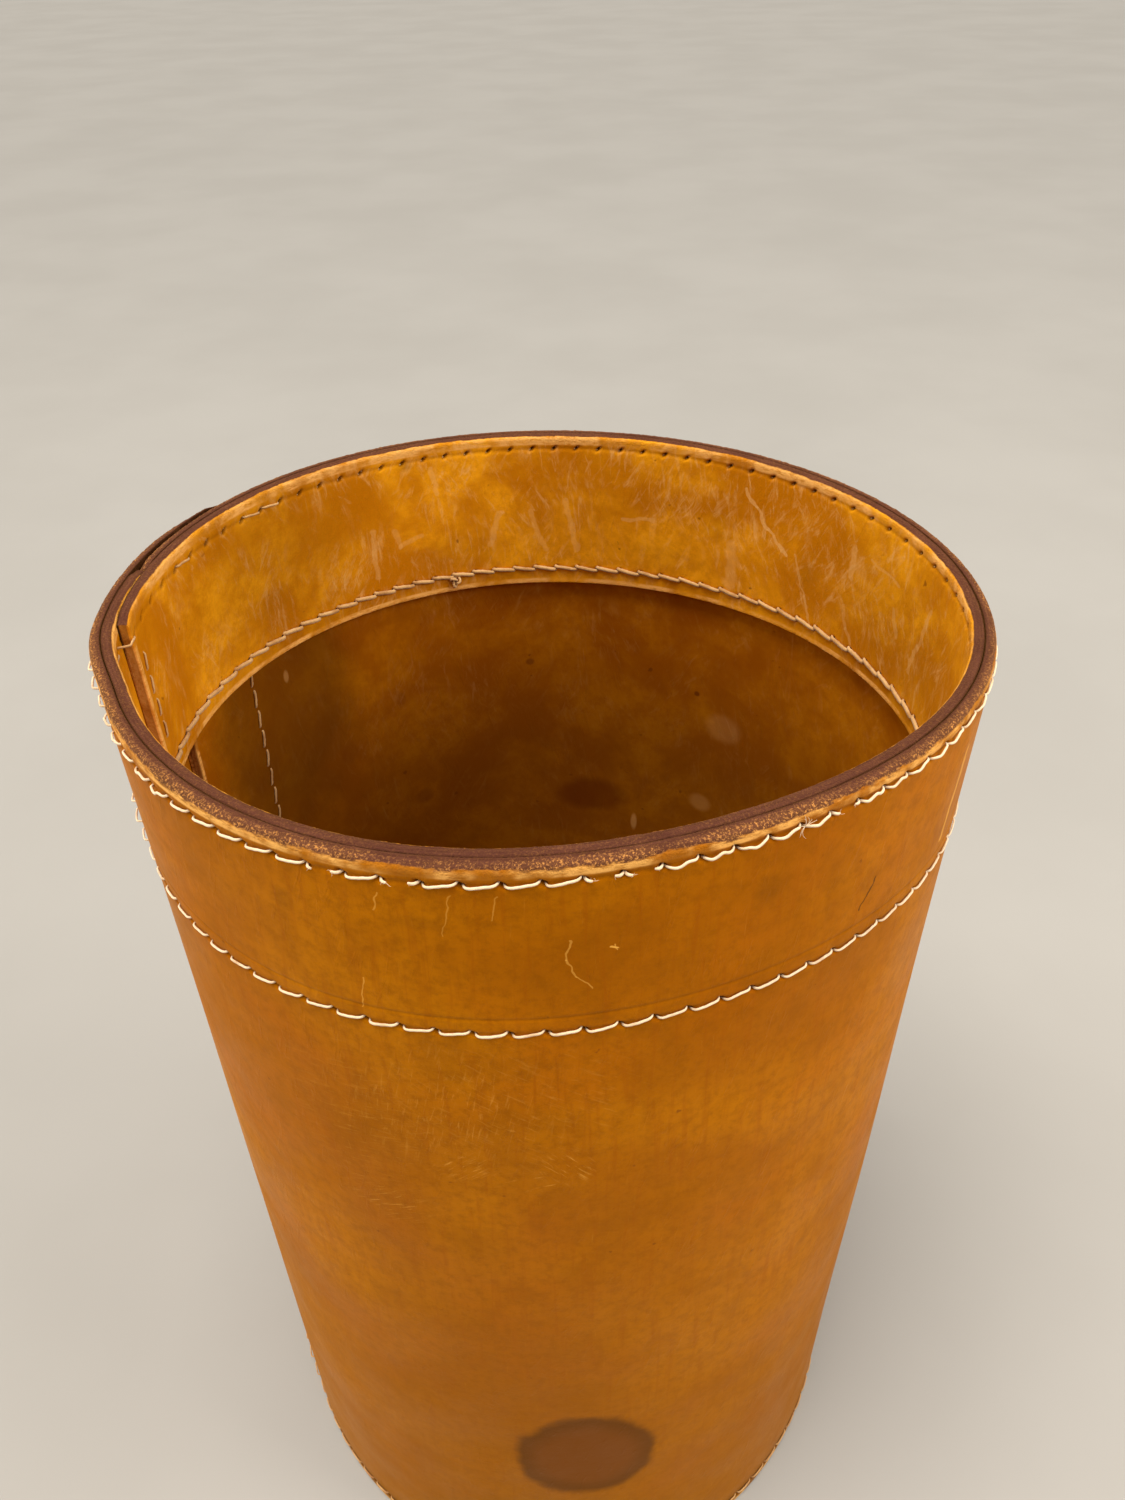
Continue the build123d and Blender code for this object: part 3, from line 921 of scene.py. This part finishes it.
def outside_colour(paint, grain):
    """Tan hide with clouds, upright runs, specks and a darker foot."""
    clouds = paint.between(paint.noise(grain, 8, 4.0, 0.55, 0.4), 0.34, 0.66)
    colour = paint.mix(clouds, TAN_DEEP, TAN)
    for scale, detail, roughness, distortion, low, high, strength, tone in (
        (19, 3.0, 0.55, 0.0, 0.45, 0.75, 0.5, TAN_RED),
        (42, 4.0, 0.60, 0.6, 0.42, 0.72, 0.45, shade(TAN_DEEP, 0.72)),
        (230, 5.0, 0.75, 0.0, 0.40, 0.70, 0.6, shade(TAN_DEEP, 0.70)),
    ):
        pattern = paint.noise(grain, scale, detail, roughness, distortion)
        colour = paint.mix(paint.between(pattern, low, high, 0.0, strength), colour, tone)
    runs = paint.times(paint.streaks(grain, 420, 28, 0.48, 0.72), 0.5)
    colour = paint.mix(runs, colour, shade(TAN_RED, 0.75))
    colour = speckle(paint, grain, colour, 210, 0.73)
    height = paint.part(grain, UP)
    foot = paint.between(height, 0.0, DARK_FOOT * MM, 0.66, 0.0)
    colour = paint.mix(foot, colour, shade(TAN_DEEP, 0.62))
    # The outside is darker still over its lowest few millimetres.
    foot_band = paint.between(height, FOOT_BAND_LOW * MM, FOOT_BAND_HIGH * MM, 0.8, 0.0)
    return paint.mix(foot_band, colour, shade(TAN_DEEP, 0.35))


def scratch(paint, where, colour, tone, width, strength, *places):
    """A scratch along a broken line of places (angle, drop below the rim, inward)."""
    for start, end in zip(places, places[1:]):
        line = paint.times(paint.stroke(where, start, end, width), strength)
        colour = paint.mix(line, colour, tone)
    return colour


def stain(paint, grain, colour, oval, tone, strength, softness, lean=0.0, inward=0.0):
    """A stain with an uneven edge. oval is (angle, drop below the rim, half width, half height)."""
    angle, drop, half_width, half_height = oval
    offset = paint.turned(paint.vector("SUBTRACT", grain, wall_place(angle, drop, inward)), lean)
    scaled = paint.vector("DIVIDE", offset, (half_width * MM, half_height * MM, 1.0))
    distance = paint.vector("LENGTH", scaled, output="Value")
    unevenness = paint.maths("MULTIPLY_ADD", paint.noise(grain, 60, 3.0), 0.30, -0.15)
    distance = paint.maths("ADD", distance, unevenness)
    body = paint.between(distance, 1.0 - softness, 1.04, strength, 0.0)
    return paint.mix(body, colour, tone)


def outside_marks(paint, grain, colour):
    """The marks that use has left on the outside."""
    scuffs = paint.times(paint.streaks(grain, 1100, 70, 0.62, 0.76), 0.14)
    colour = paint.mix(scuffs, colour, TAN_PALE)
    for *oval, lean, strength in HAIR_PATCHES:
        hairs = paint.times(paint.streaks(grain, 1000, 120, 0.54, 0.70, lean), strength)
        colour = stain(paint, grain, colour, oval, TAN_SCRATCHED, hairs, 0.9)
    where = paint.wander(grain, 160, 2.0)
    for mark in OUTSIDE_SCRATCHES:
        colour = scratch(paint, where, colour, TAN_SCRATCHED, *mark)
    colour = scratch(paint, where, colour, HOLE_BROWN, *NICK)
    for *oval, strength in OUTSIDE_SPOTS:
        colour = stain(paint, grain, colour, oval, DIRT_AND_SHADE, strength, 0.7)
    border = shade(STAIN_BROWN, 0.62)
    colour = stain(paint, grain, colour, PATCH_BORDER, border, 0.95, 0.14, PATCH_LEAN)
    return stain(paint, grain, colour, PATCH_MIDDLE, STAIN_BROWN, 0.9, 0.35, PATCH_LEAN)


def inside_colour(paint, grain, deep, tan, scuffing):
    """The inside: mottled, with pale upright scuffs and dark spots."""
    clouds = paint.between(paint.noise(grain, 24, 4.0, 0.6, 0.4), 0.36, 0.66)
    colour = paint.mix(clouds, deep, tan)
    mottle = paint.between(paint.noise(grain, 130, 5.0, 0.75), 0.35, 0.68, 0.0, 0.6)
    colour = paint.mix(mottle, colour, deep)
    for across, along, lean, strength in (
        (330, 75, 4, 0.50),
        (420, 130, 28, 0.42),
        (380, 100, -32, 0.44),
    ):
        scuffs = paint.streaks(grain, across, along, 0.50, 0.74, lean)
        patches = paint.between(paint.noise(grain, 20 + across / 40, 2.0), 0.42, 0.64)
        share = paint.times(paint.times(scuffs, patches), strength * scuffing)
        colour = paint.mix(share, colour, INSIDE_PALE)
    return speckle(paint, grain, colour, 170, 0.74)


def inside_marks_and_shade(paint, grain, colour):
    """The wall's inside: painted shade that darkens it towards the bottom and over a broad patch on
    the left, with some spots and pale smears.
    """
    deep_shade = paint.between(paint.part(grain, UP), DEEP_SHADE_LOW * MM, DEEP_SHADE_HIGH * MM, 0.50, 0.0)
    colour = paint.mix(deep_shade, colour, DIRT_AND_SHADE)
    for *oval, strength, tone in INSIDE_SPOTS_AND_SHADE:
        colour = stain(paint, grain, colour, oval, tone, strength, 0.5, inward=LEATHER)
    return colour


def collar_marks_and_shade(paint, grain, colour):
    """Scratches and rubbed streaks inside the collar, soiled patches, and painted shade on its left
    and right.
    """
    where = paint.wander(grain, 130, 2.5)
    for width, strength, *places in COLLAR_SCRATCHES:
        line = [(angle, drop, LEATHER) for angle, drop in places]
        colour = scratch(paint, where, colour, INSIDE_PALE, width, strength, *line)
    for *oval, strength in COLLAR_SOILING_AND_SHADE:
        colour = stain(paint, grain, colour, oval, DIRT_AND_SHADE, strength, 0.9, inward=LEATHER)
    return colour


def finish_leather(paint, grain, colour, cut_edge, creases, roughness):
    """The holes and grooves darkened with painted shade, waxed finish and relief that all three
    leathers share.
    """
    paint.feed(paint.shader, {
        "Base Color": paint.mix(paint.attribute("dark"), colour, HOLE_BROWN),
        "Roughness": roughness,
        "Specular IOR Level": 0.02,
        "Specular Tint": GLOSS_TINT,
        "Sheen Weight": 0.10,
        "Sheen Roughness": 0.5,
        "Sheen Tint": SHEEN_TINT,
    })
    wrinkles = paint.noise(grain, 420, 4.0, 0.6)
    pores = paint.cells(grain, 1500)
    rough = paint.times(paint.noise(grain, 1600, 3.0, 0.7), cut_edge)
    paint.bump(((wrinkles, 0.25, 0.30), (pores, 0.18, 0.12), (creases, 0.35, 0.25), (rough, 0.9, 0.5)))
    return paint.material


def wall_leather():
    """The wall: outside, inside and cut edges; the inside is painted dark as painted shade."""
    paint = Paint("wall_leather")
    grain = paint.attribute("grain", "Vector")
    cut_edge = paint.attribute("worn")
    outside = outside_marks(paint, grain, outside_colour(paint, grain))
    shaded_lining = inside_colour(paint, grain, SHADED_LINING_DEEP, SHADED_LINING_TAN, 0.25)
    shaded_lining = inside_marks_and_shade(paint, grain, shaded_lining)
    inside = paint.between(paint.attribute("inside"), 0.45, 0.55)
    inward = paint.part(grain, INWARD)
    border = paint.maths("ADD", inward, ragged(paint, grain, 1.3))
    bared = paint.between(border, WALL_NOT_BARE * MM, WALL_BARE * MM)
    dusting = paint.between(inward, NOT_DUSTY * MM, DUSTY * MM, 0.14, 1.0)
    colour = edge_colour(paint, grain, paint.mix(inside, outside, shaded_lining), cut_edge, bared, dusting)
    creases = paint.streaks(grain, 300, 60, 0.55, 0.70, 15)
    polish = paint.between(paint.noise(grain, 30, 4.0, 0.6), 0.3, 0.7, 0.36, 0.52)
    roughness = paint.maths("MULTIPLY_ADD", cut_edge, -0.06, polish)
    return finish_leather(paint, grain, colour, cut_edge, creases, roughness)


def collar_leather():
    """The collar: the same hide, scuffed on the inside and painted much lighter there as painted
    light, with painted shade on its left and right.
    """
    paint = Paint("collar_leather")
    grain = paint.attribute("grain", "Vector")
    cut_edge = paint.attribute("worn")
    colour = inside_colour(paint, grain, LIT_INSIDE_DEEP, LIT_INSIDE_TAN, 1.0)
    colour = collar_marks_and_shade(paint, grain, colour)
    border = paint.maths("SUBTRACT", paint.part(grain, INWARD), ragged(paint, grain, 0.5))
    bared = paint.between(border, COLLAR_NOT_BARE * MM, COLLAR_BARE * MM)
    colour = edge_colour(paint, grain, colour, cut_edge, bared, 0.16)
    creases = paint.streaks(grain, 260, 50, 0.50, 0.70, -12)
    roughness = paint.between(paint.noise(grain, 40, 4.0, 0.6), 0.3, 0.7, 0.40, 0.58)
    return finish_leather(paint, grain, colour, cut_edge, creases, roughness)


def base_leather():
    """The base: painted darker as painted shade, duller, with scattered scuffs."""
    paint = Paint("base_leather")
    grain = paint.attribute("grain", "Vector")
    cut_edge = paint.attribute("worn")
    colour = inside_colour(paint, grain, SHADED_LINING_DEEP, SHADED_LINING_TAN, 0.5)
    colour = edge_colour(paint, grain, colour, cut_edge, 0.0, 0.2)
    creases = paint.streaks(grain, 200, 80, 0.50, 0.70)
    roughness = paint.between(paint.noise(grain, 40, 4.0, 0.6), 0.3, 0.7, 0.5, 0.68)
    return finish_leather(paint, grain, colour, cut_edge, creases, roughness)


def waxed_thread(name, clean, soiled, dirt):
    """Waxed linen thread, more or less soiled."""
    paint = Paint(name)
    where = paint.node("ShaderNodeTexCoord").outputs["Object"]
    patches = paint.between(paint.noise(where, 160, 3.0, 0.6), 0.5 - dirt, 0.85 - dirt)
    colour = paint.mix(patches, clean, soiled)
    strands = paint.noise(where, 5200, 2.0, 0.6)
    paint.feed(paint.shader, {
        "Base Color": paint.mix(paint.between(strands, 0.45, 0.70, 0.0, 0.25), colour, soiled),
        "Roughness": paint.between(strands, 0.3, 0.7, 0.62, 0.80),
        "Sheen Weight": 0.25,
        "Specular IOR Level": 0.3,
    })
    paint.bump(((strands, 0.5, 0.12),))
    return paint.material


def pale_floor():
    """A plain pale floor with a faint mottle."""
    paint = Paint("pale_floor")
    where = paint.node("ShaderNodeTexCoord").outputs["Object"]
    clouds = paint.between(paint.noise(where, 3, 4.0), 0.3, 0.7)
    paint.feed(paint.shader, {
        "Base Color": paint.mix(clouds, FLOOR_GREY, FLOOR_PALE),
        "Roughness": 0.8,
    })
    return paint.material


# ---- the pieces

def keep(piece, material, slot, *nodes):
    """Give a piece its material, put it under the root body and hide the CAD parts that it stands for.
    """
    piece.data.materials.append(material)
    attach(piece, "root")
    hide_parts(*nodes)


def keep_thread(yarn, seam, material):
    """Finish the thread on one face of a seam. It stands for the CAD's thread on that face."""
    face = seam.rpartition("_")[2]
    keep(yarn.build(seam + "_stitches"), material, face + "_thread", seam + "_thread")


wall = wrap_sheet(
    "wall",
    outside=WALL_RADIUS,
    start=WALL_FLAP_END,
    end=WALL_INNER_END + FULL_TURN,
    profile=wall_profile(),
    outer_rows=[rim_row, collar_row, base_row],
    inner_rows=[],
    pared=True,
)
keep(wall, wall_leather(), "wall_leather", "wall_sheet")

collar = wrap_sheet(
    "collar",
    outside=COLLAR_OUTSIDE,
    start=WALL_INNER_END + BUTT_GAP,
    end=COLLAR_FLAP_END + FULL_TURN,
    profile=collar_profile(),
    outer_rows=[],
    inner_rows=[rim_row, collar_row_inside],
)
keep(collar, collar_leather(), "collar_leather", "rim_collar")

keep(turn_base("base"), base_leather(), "base_leather", "base_pan")

outer_thread = waxed_thread("outer_thread", CREAM, CREAM_SOILED, 0.04)
inner_thread = waxed_thread("inner_thread", STRAW, STRAW_SOILED, 0.12)
foot_thread = waxed_thread("foot_thread", FOOT_BROWN, FOOT_BROWN_SOILED, 0.12)

yarn = Yarn(11)
sew_round(yarn, rim_row, outer_face, 1, BROKEN_STITCHES, LOOSE_STITCHES)
fray = Spot(FRAYED_ANGLE, rim_row(FRAYED_ANGLE), outer_face, 1)
for _ in range(9):
    yarn.fibre(fray, (0.0, 0.3, 0.6), yarn.rng.uniform(1.8, 4.0))
keep_thread(yarn, "rim_row_outer", outer_thread)

yarn = Yarn(12)
sew_round(yarn, rim_row, inner_face, -1, skipped=PLAIN_STITCHES, proud=-1.0)
sew_round(yarn, rim_row, inner_face, -1, skipped=SUNK_STITCHES, proud=0.1)
keep_thread(yarn, "rim_row_inner", inner_thread)

yarn = Yarn(13)
sew_round(yarn, collar_row, outer_face, 1)
keep_thread(yarn, "collar_row_outer", outer_thread)

yarn = Yarn(14)
thick_stitch = {"proud": 0.5, "sink": 0.7, "slant": 0.7, "stout": 2.1, "gap": -0.04}
sew_round(yarn, collar_row_inside, inner_face, -1, **thick_stitch)
yarn.knot(Spot(KNOT_ANGLE, collar_row_inside(KNOT_ANGLE) - 2.2, inner_face, -1), 2.4)
keep_thread(yarn, "collar_row_inner", inner_thread)

yarn = Yarn(15)
sew_round(yarn, base_row, outer_face, 1)
keep_thread(yarn, "base_row_outer", foot_thread)

yarn = Yarn(16)
sew_round(yarn, base_row, flange_face, -1)
keep_thread(yarn, "base_row_inner", inner_thread)

lower_holes = upright_holes(BASE_ROW_HEIGHT, COLLAR_ROW_HEIGHT)
upper_holes = upright_holes(COLLAR_ROW_HEIGHT, HEIGHT - RIM_ROW_DROP)

yarn = Yarn(17)
for holes in (lower_holes, upper_holes):
    sew_upright(yarn, WALL_SEAM, holes, outer_face, 1)
keep_thread(yarn, "wall_seam_outer", outer_thread)

yarn = Yarn(18)
sew_upright(yarn, WALL_SEAM, lower_holes, wall_inner_face, -1, stout=1.25, gap=0.06)
keep_thread(yarn, "wall_seam_inner", inner_thread)

yarn = Yarn(19)
sew_upright(yarn, COLLAR_SEAM, upper_holes, inner_face, -1, gap=0.12)
collar_seam = yarn.build("collar_seam_stitches")
both_threads = ("collar_seam_inner_thread", "collar_seam_outer_thread")
keep(collar_seam, inner_thread, "inner_thread", *both_threads)


# ---- floor, light and camera

floor = make_object(
    "floor",
    [(x * FLOOR_REACH, y * FLOOR_REACH, -FLOOR_DROP) for x, y in ((-1, -1), (1, -1), (1, 1), (-1, 1))],
    [(0, 1, 2, 3)],
    smooth=False,
)
floor.data.materials.append(pale_floor())


def add_light(name, kind, power):
    """A warm light of this kind."""
    data = bpy.data.lights.new(name, kind)
    data.energy = power
    data.color = WARM
    light = bpy.data.objects.new(name, data)
    bpy.context.collection.objects.link(light)
    return light


def add_soft_light(name, position, size, power):
    """A square soft light that faces the middle of the basket."""
    light = add_light(name, "AREA", power)
    light.data.shape = "SQUARE"
    light.data.size = size
    light.location = position
    aim = Vector((0, 0, HEIGHT * MM / 2)) - light.location
    light.rotation_euler = aim.to_track_quat("-Z", "Y").to_euler()


add_soft_light("key", position=(1.85, -0.42, 1.3), size=1.2, power=35.0)
add_soft_light("fill", position=(-1.85, -0.2, 0.9), size=1.4, power=20.0)
top_light = add_light("top", "SUN", power=4.4)
top_light.data.angle = radians(38)
top_light.rotation_euler = (radians(8.5), radians(-7), 0.0)

world = bpy.data.worlds.new("studio")
world.use_nodes = True
background = world.node_tree.nodes["Background"]
background.inputs["Color"].default_value = SKY_COLOUR
background.inputs["Strength"].default_value = SKY_STRENGTH
bpy.context.scene.world = world
bpy.context.scene.view_settings.view_transform = "Standard"


def aim_camera():
    """The camera at the viewing angle of the reference view."""
    data = bpy.data.cameras.new("camera")
    data.sensor_width = SENSOR
    data.lens = FOCAL_LENGTH
    data.clip_start = 0.01
    down = radians(CAMERA_DOWN)
    turn = radians(-CAMERA_LEFT)
    roll = radians(CAMERA_ROLL)
    ahead = Vector((sin(turn) * cos(down), cos(turn) * cos(down), -sin(down)))
    level = Vector((cos(turn), -sin(turn), 0))
    upright = level.cross(ahead)
    right = cos(roll) * level + sin(roll) * upright
    up = cos(roll) * upright - sin(roll) * level
    axes = Matrix((right, up, -ahead)).transposed().to_4x4()
    camera = bpy.data.objects.new("camera", data)
    camera.matrix_world = Matrix.Translation(Vector(CAMERA_PLACE) * MM) @ axes
    bpy.context.collection.objects.link(camera)
    bpy.context.scene.camera = camera


aim_camera()
